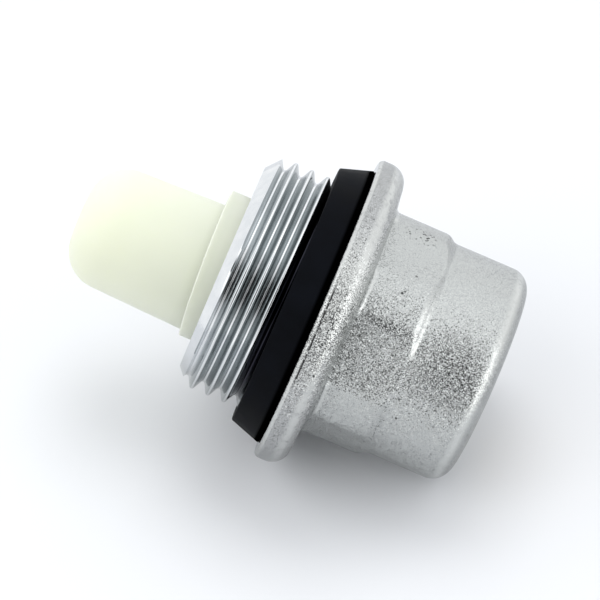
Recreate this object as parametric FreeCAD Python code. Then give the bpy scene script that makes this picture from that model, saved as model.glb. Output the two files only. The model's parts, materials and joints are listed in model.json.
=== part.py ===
"""Automatic air vent for a sectional radiator: G1 left-hand plug body with a float inside it.

Frame: millimetres. The origin is the centre of the gasket's sealing face, on the thread axis.
+X points out of the radiator along the thread axis, towards the cap. +Z is up as installed.
"""

import FreeCAD, Part
import math
import os

# driving dimensions, in mm

# thread: G1 pipe thread, 11 turns per inch, 55 degree flanks, left-hand
PITCH = 2.309
THREAD_MAJOR_R = 33.249 / 2
THREAD_MINOR_R = 30.291 / 2
THREAD_ROUND = 0.1373 * PITCH  # rounding of crests and roots
FLANK = math.radians(27.5)
CREST_TRIM = 0.012           # the crests are turned this much under full form
CREST_LAND = 0.12            # width left between two passes of the groove
CREST_X = -5.49              # where a crest lies at the reference angle below
CREST_ANGLE = -40.0          # that angle, degrees from +Z towards -Y

# gasket
GASKET_LENGTH = 4.5          # along the axis, from the sealing face to the flange
GASKET_FACE_R = 18.35
GASKET_FLANGE_R = 19.7
GASKET_BORE_R = 15.1
GASKET_LIP_R = 16.75         # the face starts just outside the thread's crests
GASKET_LIP_DEPTH = 0.4
GASKET_SOFT = 0.25           # softening of the outer edges

# body casting
SKIRT_END_X = -9.2           # threaded end of the body
LEAD_IN_R = 14.4
LEAD_IN_X = -7.3
EDGE_CHAMFER = 0.4
FLANGE_X = GASKET_LENGTH
FLANGE_R = 21.55
FLANGE_ROUND = 2.65          # on the cap's side
FLANGE_BACK_ROUND = 0.72     # on the gasket's side
FLANGE_TOP_X = 8.8
HEX_FOOT = 0.8               # fillet at the foot of the hexagon
HEX_FOOT_X = 9.1
HEX_FLATS_X = 9.22           # the milled flats start here
HEX_FLAT_R = 15.2            # half the distance across the flats
HEX_CORNER_R = 15.95         # the corners are turned to this radius
HEX_CORNER_ANGLE = -27.0     # degrees from +Z towards -Y
HEX_END_X = 16.5
CAP_R = 15.17
CAP_START_X = 18.55
CAP_END_X = 29.5
CAP_ROUND = 2.8
SLOPE_CONVEX_SHARE = 0.57    # share of the slope from hexagon to cap that bulges

# inside of the body
BORE_R = 12.5                # float chamber
SHOULDER_X = 9.5             # the float carrier seats here
CHAMBER_R = 11.0             # valve chamber
CHAMBER_END_X = 18.0
WALL_HOLE_R = 3.0
RECESS_X = 24.0              # floor of the outlet recess
RECESS_R = 6.0
RING_GROOVE_X = 6.3
RING_GROOVE_WIDTH = 1.2
RING_GROOVE_R = 13.3

# float carrier, strainer and retaining ring
CARRIER_X = 7.5              # inboard face of the carrier's disc
CARRIER_PLAY = 0.05
CARRIER_REGISTER = 0.6       # depth of the carrier's step into the valve chamber
RUNNING = 0.05               # radial running clearance of stem and pin
BUSH_R = 2.6
BUSH_X = 4.0
BUSH_END_X = 11.0
EAR_Y = 3.6                  # inner face of a carrier ear
EAR_THICK = 1.4
EAR_X = 3.3
EAR_ABOVE = 2.1              # an ear reaches this far above the hinge
EAR_BELOW = 2.4
STOP_HALF_WIDTH = 1.5
STOP_HEIGHT = 0.55           # the pad that the lever rests on
STOP_ARM = 0.95              # the arm that carries the pad
STOP_X = 1.0
STOP_END_X = 2.6
WINDOW_R = 1.8
WINDOW_AT = 7.4
WINDOW_ANGLES = (-90, -45, 0, 45, 90)
STRAINER_THICK = 0.3
STRAINER_PLAY = 0.1
STRAINER_HOLE_R = 0.45
STRAINER_ROWS = (6.6, 8.2)   # radii of the two rows of holes
STRAINER_HOLES = 28          # in each row
RETAINER_PLAY = 0.05
RETAINER_BORE_R = 11.6
RETAINER_GAP_HALF = 3.4
LUG_R = 1.3
LUG_HOLE_R = 0.55
LUG_Y = 4.6
LUG_Z = 10.4

# hinge pin and its clip
HINGE_X = 5.0
HINGE_Z = -7.0
HINGE_PIN_R = 0.8
PIN_HEAD_R = 1.3
PIN_HEAD_Y = -7.0
PIN_SHANK_Y = -6.4
PIN_END_Y = 7.2
PIN_GROOVE_Y = 6.3
PIN_GROOVE_WIDTH = 0.4
PIN_GROOVE_R = 0.55
CLIP_PLAY = 0.02
CLIP_R = 1.4
CLIP_MOUTH_HALF = 0.45

# lever
LEVER_SHEET = 0.8
LEVER_TOP_Z = 1.5            # top of the plate on the float
ARM_Y = 5.2                  # inner face of a lever arm
ARM_HALF_HEIGHT = 2.0
FORK_X = 1.3
FORK_TOP_Z = 2.2
FORK_SLOT_HALF = 0.95
FORK_SLOT_Z = -0.7           # centre of the slot's round end, low enough for the fork to rise
FORK_HALF_WIDTH = 2.6
FORK_OVERLAP = 0.5           # the fork runs this far into the bridge between the arms

# float
FLOAT_BASE_X = -5.0          # inner end of the float, where the lever is riveted
FLOAT_BASE_R = 10.3
FLOAT_BASE_Z = -0.52         # the collar hangs this far off the thread axis
FLOAT_BASE_END_X = -11.4
FLOAT_BASE_TILT = 3.6        # degrees, the collar's outer face leans out at the top
CUP_MOUTH_X = -6.2
CUP_STRAIGHT_X = -10.8       # the cup tapers from here to its tip
CUP_Z = -1.4                 # the cup is eccentric in the collar
CUP_MOUTH_R = 8.85
CUP_TIP_R = 8.4
CUP_TIP_X = -24.1
CUP_ROUND = 5.2
CUP_WALL = 1.0
CUP_DOME = 0.15              # height of the dome on the flat end
RIVET_R = 0.75
RIVET_HEAD_R = 1.5
RIVET_HEAD = 0.5
RIVET_Y = 3.5
RIVET_Z = -2.0

# stem and valve
STEM_R = 1.2
NECK_X = 0.9                 # the stem's neck, which the fork holds
NECK_WIDTH = 1.6
NECK_R = 0.8
STEM_COLLAR = 0.6
STEM_COLLAR_R = 2.0
HOLDER_X = 12.2
HOLDER_R = 3.2
HOLDER_BACK = 1.2
HOLDER_END_X = 15.4
DISC_R = 2.6
DISC_FACE_X = 15.9
SEAT_LIP_X = 16.68           # the disc stops just short of the lip at full lift
SEAT_LIP_WIDTH = 0.4
SEAT_LIP_R = 1.9
SEAT_FLANGE_X = 17.0
SEAT_FLANGE_R = 4.0
SEAT_HOLE_R = 0.9
SEAT_END_X = 23.6
SEAT_GROOVE_HALF = 0.55
SEAT_GROOVE_R = 2.1
SEAT_RING_X = 20.5
SEAT_RING_R = 2.55
SEAT_RING_THICK_R = 0.44

# outlet
SUPPORT_THICK = 0.5
SUPPORT_R = 5.9
SUPPORT_BORE_R = 1.0
SUPPORT_HOLE_R = 0.6
SUPPORT_HOLES = 6
FIBRE_DISC_THICK = 0.5
FIBRE_DISC_R = 5.6
FIBRE_DISC_COUNT = 3
SCREW_X = 26.1
SCREW_END_X = 28.9
SCREW_R = 5.9
SCREW_CHAMFER = 0.3
SCREW_SLOT_WIDTH = 1.4
SCREW_SLOT_DEPTH = 1.2
SCREW_GROOVE_R = 4.9
SCREW_GROOVE_HALF = 0.5
SCREW_RING_X = 27.2
SCREW_RING_R = 0.4           # half the thickness of the rubber ring
SCREW_VENT_R = 0.5
SCREW_VENT_AT = 3.2

PAST = 1.0                   # how far a cutting tool reaches past what it cuts
QUARTER = 45                 # the middle of a quarter round, degrees

X_AXIS = FreeCAD.Vector(1, 0, 0)
Y_AXIS = FreeCAD.Vector(0, 1, 0)
ORIGIN = FreeCAD.Vector(0, 0, 0)


def point(x, y, z):
    return FreeCAD.Vector(x, y, z)


def outline_face(outline):
    """A flat face in the XZ plane. An item is the next corner (x, r), or an arc's (mid x, mid r, x, r)."""
    corners = [(item[-2], item[-1]) for item in outline]
    edges = []
    for number, item in enumerate(outline):
        start = point(corners[number - 1][0], 0, corners[number - 1][1])
        end = point(item[-2], 0, item[-1])
        if len(item) == 4:
            edges.append(Part.Arc(start, point(item[0], 0, item[1]), end).toShape())
        else:
            edges.append(Part.LineSegment(start, end).toShape())
    return Part.Face(Part.Wire(edges))


def turned(outline, axis_z=0.0):
    """A solid turned about a line along X at height axis_z."""
    solid = outline_face(outline).revolve(ORIGIN, X_AXIS, 360)
    solid.translate(point(0, 0, axis_z))
    return solid


def rod(x0, x1, radius, y=0.0, z=0.0):
    """A round bar along X."""
    return Part.makeCylinder(radius, x1 - x0, point(x0, y, z), X_AXIS)


def cross_rod(y0, y1, radius, x, z):
    """A round bar along Y."""
    return Part.makeCylinder(radius, y1 - y0, point(x, y0, z), Y_AXIS)


def block(low, high):
    """A box between two opposite corners."""
    size = [high[i] - low[i] for i in range(3)]
    return Part.makeBox(size[0], size[1], size[2], point(*low))


def joined(first, *others):
    """The pieces fused into one solid."""
    shape = first
    for other in others:
        shape = shape.fuse(other)
    return shape.removeSplitter()


def around_x(angle, radius):
    """(y, z) at a radius and an angle in degrees from +Z towards -Y."""
    turn = math.radians(angle)
    return -radius * math.sin(turn), radius * math.cos(turn)


def rubber_ring(x, radius, thick_r):
    """An O-ring about the thread axis."""
    return Part.makeTorus(radius, thick_r, point(x, 0, 0), X_AXIS)


def drilled(shape, x0, x1, radius, places):
    """The shape with a hole along X at each (y, z), through everything from x0 to x1."""
    for y, z in places:
        shape = shape.cut(rod(x0 - PAST, x1 + PAST, radius, y, z))
    return shape


def arc_point(centre, radius, degrees):
    """A point of an arc, with the angle from +X towards +r."""
    turn = math.radians(degrees)
    return centre[0] + radius * math.cos(turn), centre[1] + radius * math.sin(turn)


def thread_groove():
    """The left-hand helical groove between the crests, with rounded root and crest shoulders."""
    root_centre = THREAD_MINOR_R + THREAD_ROUND
    crest_centre = THREAD_MAJOR_R - THREAD_ROUND
    side = THREAD_ROUND * math.cos(FLANK)
    drop = THREAD_ROUND * math.sin(FLANK)
    land = CREST_LAND / 2
    top = crest_centre + math.sqrt(THREAD_ROUND ** 2 - land ** 2)
    half = PITCH / 2
    mid_angle = (math.asin(land / THREAD_ROUND) + math.pi / 2 - FLANK) / 2
    mid_s = half - THREAD_ROUND * math.sin(mid_angle)
    mid_r = crest_centre + THREAD_ROUND * math.cos(mid_angle)
    over = THREAD_MAJOR_R + PAST
    section = outline_face([
        (-half + land, over),
        (-half + land, top),
        (-mid_s, mid_r, -half + side, crest_centre + drop),
        (-side, root_centre - drop),
        (0, THREAD_MINOR_R, side, root_centre - drop),
        (half - side, crest_centre + drop),
        (mid_s, mid_r, half - land, top),
        (half - land, over),
    ])
    start_x = SKIRT_END_X - 0.9 * PITCH
    length = 5.6 * PITCH  # past both ends of the thread
    spine = Part.makeLongHelix(PITCH, length, THREAD_MINOR_R, 0, True)
    spine.rotate(ORIGIN, Y_AXIS, 90)
    spine.translate(point(start_x, 0, 0))
    section.translate(point(start_x, 0, 0))
    first = spine.Vertexes[0].Point
    start_angle = math.degrees(math.atan2(-first.y, first.z))
    section.rotate(ORIGIN, X_AXIS, start_angle)
    sweep = Part.BRepOffsetAPI.MakePipeShell(Part.Wire(spine.Edges))
    sweep.setBiNormalMode(X_AXIS)
    sweep.add(section.OuterWire)
    sweep.build()
    sweep.makeSolid()
    groove = sweep.shape()
    # a left-hand helix runs back by one pitch for each whole turn towards -Y
    root_x_at_reference = start_x - PITCH * (CREST_ANGLE - start_angle) / 360
    groove.rotate(ORIGIN, X_AXIS, 360 * (root_x_at_reference - CREST_X - half) / PITCH)
    return groove


def body_outline():
    """Half section of the body casting, outside first and then the bores from the outlet inwards."""
    drop = HEX_CORNER_R - CAP_R
    run = CAP_START_X - HEX_END_X
    lean = 2 * math.atan2(drop, run)
    both = run / math.sin(lean)
    convex = SLOPE_CONVEX_SHARE * both
    concave = both - convex
    half = math.degrees(lean) / 2
    convex_centre = (HEX_END_X, HEX_CORNER_R - convex)
    concave_centre = (CAP_START_X, CAP_R + concave)
    cap_centre = (CAP_END_X - CAP_ROUND, CAP_R - CAP_ROUND)
    edge_centre = (FLANGE_TOP_X - FLANGE_ROUND, FLANGE_R - FLANGE_ROUND)
    back_centre = (FLANGE_X + FLANGE_BACK_ROUND, FLANGE_R - FLANGE_BACK_ROUND)
    foot_centre = (HEX_FOOT_X + HEX_FOOT, HEX_CORNER_R + HEX_FOOT)
    return [
        (SKIRT_END_X, LEAD_IN_R),
        (LEAD_IN_X, THREAD_MAJOR_R - CREST_TRIM),
        (0, THREAD_MAJOR_R - CREST_TRIM),
        (0, GASKET_BORE_R),
        (FLANGE_X, GASKET_BORE_R),
        (FLANGE_X, back_centre[1]),
        arc_point(back_centre, FLANGE_BACK_ROUND, 180 - QUARTER) + (back_centre[0], FLANGE_R),
        (edge_centre[0], FLANGE_R),
        arc_point(edge_centre, FLANGE_ROUND, QUARTER) + (FLANGE_TOP_X, edge_centre[1]),
        (HEX_FOOT_X, foot_centre[1]),
        arc_point(foot_centre, HEX_FOOT, 180 + QUARTER) + (foot_centre[0], HEX_CORNER_R),
        (HEX_END_X, HEX_CORNER_R),
        arc_point(convex_centre, convex, 90 - half) + arc_point(convex_centre, convex, 90 - 2 * half),
        arc_point(concave_centre, concave, 270 - half) + (CAP_START_X, CAP_R),
        (cap_centre[0], CAP_R),
        arc_point(cap_centre, CAP_ROUND, QUARTER) + (CAP_END_X, cap_centre[1]),
        (CAP_END_X, RECESS_R + EDGE_CHAMFER),
        (CAP_END_X - EDGE_CHAMFER, RECESS_R),
        (RECESS_X, RECESS_R),
        (RECESS_X, WALL_HOLE_R),
        (CHAMBER_END_X, WALL_HOLE_R),
        (CHAMBER_END_X, CHAMBER_R),
        (SHOULDER_X, CHAMBER_R),
        (SHOULDER_X, BORE_R),
        (RING_GROOVE_X + RING_GROOVE_WIDTH, BORE_R),
        (RING_GROOVE_X + RING_GROOVE_WIDTH, RING_GROOVE_R),
        (RING_GROOVE_X, RING_GROOVE_R),
        (RING_GROOVE_X, BORE_R),
        (SKIRT_END_X + EDGE_CHAMFER, BORE_R),
        (SKIRT_END_X, BORE_R + EDGE_CHAMFER),
    ]


def hexagon_waste():
    """What is milled off around the hexagon's flats."""
    corners = []
    for number in range(7):
        y, z = around_x(HEX_CORNER_ANGLE + 60 * number, HEX_FLAT_R / math.cos(math.radians(30)))
        corners.append(point(HEX_FLATS_X, y, z))
    prism = Part.Face(Part.makePolygon(corners)).extrude(point(CAP_START_X - HEX_FLATS_X, 0, 0))
    return rod(HEX_FLATS_X, CAP_START_X, HEX_CORNER_R + PAST).cut(prism)


def vent_body():
    """The one-piece casting: threaded skirt, flange, hexagon and round cap."""
    return turned(body_outline()).cut(hexagon_waste()).cut(thread_groove())


def flange_gasket():
    """The tapered rubber ring behind the thread. Its inner lip is relieved to clear the crests."""
    soft = GASKET_SOFT
    return turned([
        (GASKET_LIP_DEPTH, GASKET_BORE_R),
        (0, GASKET_LIP_R),
        (0, GASKET_FACE_R - soft),
        (0.07, GASKET_FACE_R - 0.07, soft, GASKET_FACE_R + 0.05),
        (GASKET_LENGTH - soft, GASKET_FLANGE_R - 0.05),
        (GASKET_LENGTH, GASKET_FLANGE_R - soft),
        (GASKET_LENGTH, GASKET_BORE_R),
    ])


def float_carrier():
    """Moulded plate pressed on the shoulder: stem bush, two hinge ears, a rest stop and air windows."""
    plate = rod(CARRIER_X, SHOULDER_X, BORE_R - CARRIER_PLAY)
    register_end_x = SHOULDER_X + CARRIER_REGISTER
    register = rod(SHOULDER_X, register_end_x, CHAMBER_R - CARRIER_PLAY)
    bush = rod(BUSH_X, BUSH_END_X, BUSH_R)
    pieces = [register, bush]
    for low_y in (EAR_Y, -EAR_Y - EAR_THICK):
        low = (EAR_X, low_y, HINGE_Z - EAR_BELOW)
        pieces.append(block(low, (CARRIER_X, low_y + EAR_THICK, HINGE_Z + EAR_ABOVE)))
    stop_z = HINGE_Z - ARM_HALF_HEIGHT - RUNNING
    pad_z = stop_z - STOP_HEIGHT
    half = STOP_HALF_WIDTH
    pieces.append(block((STOP_X, -half, pad_z - STOP_ARM), (CARRIER_X, half, pad_z)))
    pieces.append(block((STOP_X, -half, pad_z), (STOP_END_X, half, stop_z)))
    carrier = joined(plate, *pieces)
    carrier = drilled(carrier, BUSH_X, BUSH_END_X, STEM_R + RUNNING, [(0, 0)])
    ears_y = EAR_Y + EAR_THICK + PAST
    carrier = carrier.cut(cross_rod(-ears_y, ears_y, HINGE_PIN_R, HINGE_X, HINGE_Z))
    windows = [around_x(angle, WINDOW_AT) for angle in WINDOW_ANGLES]
    return drilled(carrier, CARRIER_X, register_end_x, WINDOW_R, windows)


def inlet_strainer():
    """Thin perforated disc over the carrier's windows, on the valve side."""
    x0 = SHOULDER_X + CARRIER_REGISTER
    x1 = x0 + STRAINER_THICK
    strainer = rod(x0, x1, CHAMBER_R - STRAINER_PLAY)
    strainer = drilled(strainer, x0, x1, BUSH_R, [(0, 0)])
    step = 360 / STRAINER_HOLES
    for radius in STRAINER_ROWS:
        holes = [around_x(step * number, radius) for number in range(STRAINER_HOLES)]
        strainer = drilled(strainer, x0, x1, STRAINER_HOLE_R, holes)
    return strainer


def retaining_ring():
    """Internal spring ring that holds the carrier, with two pierced ends at the top."""
    x0 = RING_GROOVE_X + RETAINER_PLAY
    x1 = RING_GROOVE_X + RING_GROOVE_WIDTH - RETAINER_PLAY
    ring = rod(x0, x1, RING_GROOVE_R - RETAINER_PLAY)
    ring = drilled(ring, x0, x1, RETAINER_BORE_R, [(0, 0)])
    gap_top_z = RING_GROOVE_R + PAST
    ring = ring.cut(block((x0 - PAST, -RETAINER_GAP_HALF, 0), (x1 + PAST, RETAINER_GAP_HALF, gap_top_z)))
    for y in (-LUG_Y, LUG_Y):
        ring = ring.fuse(rod(x0, x1, LUG_R, y, LUG_Z))
        ring = drilled(ring, x0, x1, LUG_HOLE_R, [(y, LUG_Z)])
    return ring.removeSplitter()


def hinge_pin():
    """Headed pin through the ears and the lever arms, with a groove for its clip."""
    pin = cross_rod(PIN_SHANK_Y, PIN_END_Y, HINGE_PIN_R, HINGE_X, HINGE_Z)
    head = cross_rod(PIN_HEAD_Y, PIN_SHANK_Y, PIN_HEAD_R, HINGE_X, HINGE_Z)
    groove_end_y = PIN_GROOVE_Y + PIN_GROOVE_WIDTH
    groove = cross_rod(PIN_GROOVE_Y, groove_end_y, HINGE_PIN_R + PAST, HINGE_X, HINGE_Z)
    groove = groove.cut(cross_rod(PIN_GROOVE_Y, groove_end_y, PIN_GROOVE_R, HINGE_X, HINGE_Z))
    return joined(pin, head).cut(groove)


def hinge_pin_clip():
    """The spring clip in the pin's groove, open to one side."""
    y0 = PIN_GROOVE_Y + CLIP_PLAY
    y1 = PIN_GROOVE_Y + PIN_GROOVE_WIDTH - CLIP_PLAY
    clip = cross_rod(y0, y1, CLIP_R, HINGE_X, HINGE_Z)
    clip = clip.cut(cross_rod(y0 - PAST, y1 + PAST, PIN_GROOVE_R + CLIP_PLAY, HINGE_X, HINGE_Z))
    low = (HINGE_X, y0 - PAST, HINGE_Z - CLIP_MOUTH_HALF)
    return clip.cut(block(low, (HINGE_X + CLIP_R + PAST, y1 + PAST, HINGE_Z + CLIP_MOUTH_HALF)))


def float_cup():
    """The thin float shell with its rounded end. The end is very slightly domed."""
    outer = (CUP_TIP_X, CUP_TIP_R - CUP_ROUND)
    inner_round = CUP_ROUND - CUP_WALL
    end_x = CUP_TIP_X - CUP_ROUND
    dome_r = (outer[1] ** 2 + CUP_DOME ** 2) / (2 * CUP_DOME)
    dome_mid_x = end_x - CUP_DOME + dome_r - math.sqrt(dome_r ** 2 - (outer[1] / 2) ** 2)
    outside = [
        (CUP_MOUTH_X, CUP_MOUTH_R),
        (CUP_STRAIGHT_X, CUP_MOUTH_R),
        (CUP_TIP_X, CUP_TIP_R),
        arc_point(outer, CUP_ROUND, 135) + (end_x, outer[1]),
        (dome_mid_x, outer[1] / 2, end_x - CUP_DOME, 0),
    ]
    inside = [
        (end_x + CUP_WALL, 0),
        (end_x + CUP_WALL, outer[1]),
        arc_point(outer, inner_round, 135) + (CUP_TIP_X, CUP_TIP_R - CUP_WALL),
        (CUP_MOUTH_X, CUP_MOUTH_R - CUP_WALL),
    ]
    return turned(outside + inside, CUP_Z)


def float_base():
    """The collar that closes the float's mouth. Its outer face leans out a little at the top."""
    blank_end_x = FLOAT_BASE_END_X - FLOAT_BASE_R
    collar = rod(blank_end_x, FLOAT_BASE_X, FLOAT_BASE_R, 0, FLOAT_BASE_Z)
    reach = 2 * FLOAT_BASE_R
    waste = block((-reach, -reach, -reach), (0, reach, reach))
    waste.rotate(ORIGIN, Y_AXIS, -FLOAT_BASE_TILT)
    waste.translate(point(FLOAT_BASE_END_X, 0, FLOAT_BASE_Z))
    collar = collar.cut(waste)
    collar = collar.cut(rod(blank_end_x, CUP_MOUTH_X, CUP_MOUTH_R, 0, CUP_Z))
    return drilled(collar, CUP_MOUTH_X, FLOAT_BASE_X, RIVET_R, rivet_places())


def rivet_places():
    """(y, z) of the two rivets between lever and float."""
    return [(-RIVET_Y, RIVET_Z), (RIVET_Y, RIVET_Z)]


def float_lever():
    """Bent sheet lever: a plate on the float, two arms to the hinge and a fork for the stem."""
    low_z = HINGE_Z - ARM_HALF_HEIGHT
    high_z = HINGE_Z + ARM_HALF_HEIGHT
    half_width = ARM_Y + LEVER_SHEET
    plate_end_x = FLOAT_BASE_X + LEVER_SHEET
    fork_end_x = FORK_X + LEVER_SHEET
    plate = block((FLOAT_BASE_X, -half_width, low_z), (plate_end_x, half_width, LEVER_TOP_Z))
    pieces = []
    for low_y in (ARM_Y, -half_width):
        pieces.append(block((FLOAT_BASE_X, low_y, low_z), (HINGE_X, low_y + LEVER_SHEET, high_z)))
        pieces.append(cross_rod(low_y, low_y + LEVER_SHEET, ARM_HALF_HEIGHT, HINGE_X, HINGE_Z))
    pieces.append(block((FORK_X, -half_width, low_z), (fork_end_x, half_width, high_z)))
    fork_low = (FORK_X, -FORK_HALF_WIDTH, high_z - FORK_OVERLAP)
    pieces.append(block(fork_low, (fork_end_x, FORK_HALF_WIDTH, FORK_TOP_Z)))
    lever = joined(plate, *pieces)
    slot_low = (FORK_X - PAST, -FORK_SLOT_HALF, FORK_SLOT_Z)
    lever = lever.cut(block(slot_low, (fork_end_x + PAST, FORK_SLOT_HALF, FORK_TOP_Z + PAST)))
    lever = drilled(lever, FORK_X, fork_end_x, FORK_SLOT_HALF, [(0, FORK_SLOT_Z)])
    arms_y = half_width + PAST
    lever = lever.cut(cross_rod(-arms_y, arms_y, HINGE_PIN_R + RUNNING, HINGE_X, HINGE_Z))
    return drilled(lever, FLOAT_BASE_X, plate_end_x, RIVET_R, rivet_places())


def lever_rivets():
    """Two rivets that hold the lever's plate on the float's end wall."""
    rivets = []
    outside = FLOAT_BASE_X + LEVER_SHEET
    for y, z in rivet_places():
        shank = rod(CUP_MOUTH_X, outside, RIVET_R, y, z)
        head = rod(outside, outside + RIVET_HEAD, RIVET_HEAD_R, y, z)
        tail = rod(CUP_MOUTH_X - RIVET_HEAD, CUP_MOUTH_X, RIVET_HEAD_R, y, z)
        rivets.append(joined(shank, head, tail))
    return Part.makeCompound(rivets)


def valve_stem():
    """The stem, with a neck between two collars that the lever's fork holds."""
    neck_end = NECK_X + NECK_WIDTH
    return turned([
        (NECK_X - STEM_COLLAR, 0),
        (NECK_X - STEM_COLLAR, STEM_COLLAR_R),
        (NECK_X, STEM_COLLAR_R),
        (NECK_X, NECK_R),
        (neck_end, NECK_R),
        (neck_end, STEM_COLLAR_R),
        (neck_end + STEM_COLLAR, STEM_COLLAR_R),
        (neck_end + STEM_COLLAR, STEM_R),
        (HOLDER_X + HOLDER_BACK, STEM_R),
        (HOLDER_X + HOLDER_BACK, 0),
    ])


def valve_holder():
    """The brass cup on the stem's end that grips the rubber disc."""
    holder = rod(HOLDER_X, HOLDER_END_X, HOLDER_R)
    holder = drilled(holder, HOLDER_X, HOLDER_END_X, STEM_R, [(0, 0)])
    return holder.cut(rod(HOLDER_X + HOLDER_BACK, HOLDER_END_X + PAST, DISC_R))


def valve_disc():
    """The rubber disc that closes on the seat."""
    return rod(HOLDER_X + HOLDER_BACK, DISC_FACE_X, DISC_R)


def seat_insert():
    """Brass jet pressed into the wall between valve chamber and outlet, with a raised seat lip."""
    return turned([
        (SEAT_LIP_X, SEAT_HOLE_R),
        (SEAT_LIP_X, SEAT_HOLE_R + SEAT_LIP_WIDTH),
        (SEAT_FLANGE_X, SEAT_LIP_R),
        (SEAT_FLANGE_X, SEAT_FLANGE_R),
        (CHAMBER_END_X, SEAT_FLANGE_R),
        (CHAMBER_END_X, WALL_HOLE_R),
        (SEAT_RING_X - SEAT_GROOVE_HALF, WALL_HOLE_R),
        (SEAT_RING_X - SEAT_GROOVE_HALF, SEAT_GROOVE_R),
        (SEAT_RING_X + SEAT_GROOVE_HALF, SEAT_GROOVE_R),
        (SEAT_RING_X + SEAT_GROOVE_HALF, WALL_HOLE_R),
        (SEAT_END_X, WALL_HOLE_R),
        (SEAT_END_X, SEAT_HOLE_R),
    ])


def outlet_support():
    """Perforated washer on the floor of the outlet recess, under the fibre discs."""
    end_x = RECESS_X + SUPPORT_THICK
    support = rod(RECESS_X, end_x, SUPPORT_R)
    support = drilled(support, RECESS_X, end_x, SUPPORT_BORE_R, [(0, 0)])
    step = 360 / SUPPORT_HOLES
    holes = [around_x(step * number, SCREW_VENT_AT) for number in range(SUPPORT_HOLES)]
    return drilled(support, RECESS_X, end_x, SUPPORT_HOLE_R, holes)


def fibre_disc(number):
    """One of the fibre discs that swell when wet."""
    start = RECESS_X + SUPPORT_THICK + number * FIBRE_DISC_THICK
    return rod(start, start + FIBRE_DISC_THICK, FIBRE_DISC_R)


def outlet_screw():
    """Slotted shut-off screw, recessed in the cap's end, with a rubber ring groove and air holes."""
    screw = turned([
        (SCREW_X, 0),
        (SCREW_X, SCREW_R - SCREW_CHAMFER),
        (SCREW_X + SCREW_CHAMFER, SCREW_R),
        (SCREW_RING_X - SCREW_GROOVE_HALF, SCREW_R),
        (SCREW_RING_X - SCREW_GROOVE_HALF, SCREW_GROOVE_R),
        (SCREW_RING_X + SCREW_GROOVE_HALF, SCREW_GROOVE_R),
        (SCREW_RING_X + SCREW_GROOVE_HALF, SCREW_R),
        (SCREW_END_X - SCREW_CHAMFER, SCREW_R),
        (SCREW_END_X, SCREW_R - SCREW_CHAMFER),
        (SCREW_END_X, 0),
    ])
    half = SCREW_SLOT_WIDTH / 2
    long = SCREW_R + PAST
    slot_low = (SCREW_END_X - SCREW_SLOT_DEPTH, -half, -long)
    screw = screw.cut(block(slot_low, (SCREW_END_X + PAST, half, long)))
    vents = [(-SCREW_VENT_AT, 0), (SCREW_VENT_AT, 0)]
    return drilled(screw, SCREW_X, SCREW_END_X, SCREW_VENT_R, vents)


def write(name, shape):
    """Write one node and say what it holds."""
    valid = shape.isValid()
    print(f"{name:16s} valid={valid} solids={len(shape.Solids)} volume={shape.Volume:.1f}")
    shape.exportStep(f"parts/{name}.step")


def main():
    os.makedirs("parts", exist_ok=True)
    write("vent_body", vent_body())
    write("flange_gasket", flange_gasket())
    write("float_carrier", float_carrier())
    write("inlet_strainer", inlet_strainer())
    write("retaining_ring", retaining_ring())
    write("hinge_pin", hinge_pin())
    write("hinge_pin_clip", hinge_pin_clip())
    write("float_cup", float_cup())
    write("float_base", float_base())
    write("float_lever", float_lever())
    write("lever_rivets", lever_rivets())
    write("valve_stem", valve_stem())
    write("valve_holder", valve_holder())
    write("valve_disc", valve_disc())
    write("seat_insert", seat_insert())
    write("seat_ring", rubber_ring(SEAT_RING_X, SEAT_RING_R, SEAT_RING_THICK_R))
    write("outlet_support", outlet_support())
    for number in range(FIBRE_DISC_COUNT):
        write(f"fibre_disc_{number + 1}", fibre_disc(number))
    write("outlet_screw", outlet_screw())
    ring_middle = (SCREW_GROOVE_R + RECESS_R) / 2
    write("outlet_ring", rubber_ring(SCREW_RING_X, ring_middle, SCREW_RING_R))


main()
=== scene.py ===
"""Looks of the automatic air vent: zinc, rubber and milky plastic, with floor, light and camera.

Blender works in metres in the CAD frame: +X along the thread axis towards the cap, +Z up as installed.
Outlines below are in millimetres, like the CAD dimensions that they repeat.
"""

import json
import math

import bmesh
import bpy
from mathutils import Matrix, Vector, noise


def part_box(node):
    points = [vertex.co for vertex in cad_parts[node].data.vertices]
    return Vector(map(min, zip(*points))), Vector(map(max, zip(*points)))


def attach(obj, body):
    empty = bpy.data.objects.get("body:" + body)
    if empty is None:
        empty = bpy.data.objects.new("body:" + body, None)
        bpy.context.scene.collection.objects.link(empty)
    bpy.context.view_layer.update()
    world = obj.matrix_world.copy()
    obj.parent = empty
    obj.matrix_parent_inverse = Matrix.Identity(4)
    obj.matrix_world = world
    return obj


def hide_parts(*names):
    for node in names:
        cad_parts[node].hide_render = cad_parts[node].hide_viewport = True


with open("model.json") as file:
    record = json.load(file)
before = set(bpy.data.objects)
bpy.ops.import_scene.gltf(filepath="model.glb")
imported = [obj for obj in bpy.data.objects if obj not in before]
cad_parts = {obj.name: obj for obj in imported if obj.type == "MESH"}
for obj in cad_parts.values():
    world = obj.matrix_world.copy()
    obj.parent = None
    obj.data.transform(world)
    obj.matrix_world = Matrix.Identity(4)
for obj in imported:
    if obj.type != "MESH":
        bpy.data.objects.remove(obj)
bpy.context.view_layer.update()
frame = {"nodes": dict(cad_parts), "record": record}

MM = 0.001
COLUMNS = 320                # steps round the axis

# thread
PITCH = 2.309
MAJOR_R = 33.249 / 2
MINOR_R = 30.291 / 2
THREAD_ROUND = 0.1373 * PITCH
FLANK = math.radians(27.5)
CREST_X = -5.49
CREST_ANGLE = -40.0
LEAD_IN_R = 14.4
LEAD_IN_X = -7.3

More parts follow.
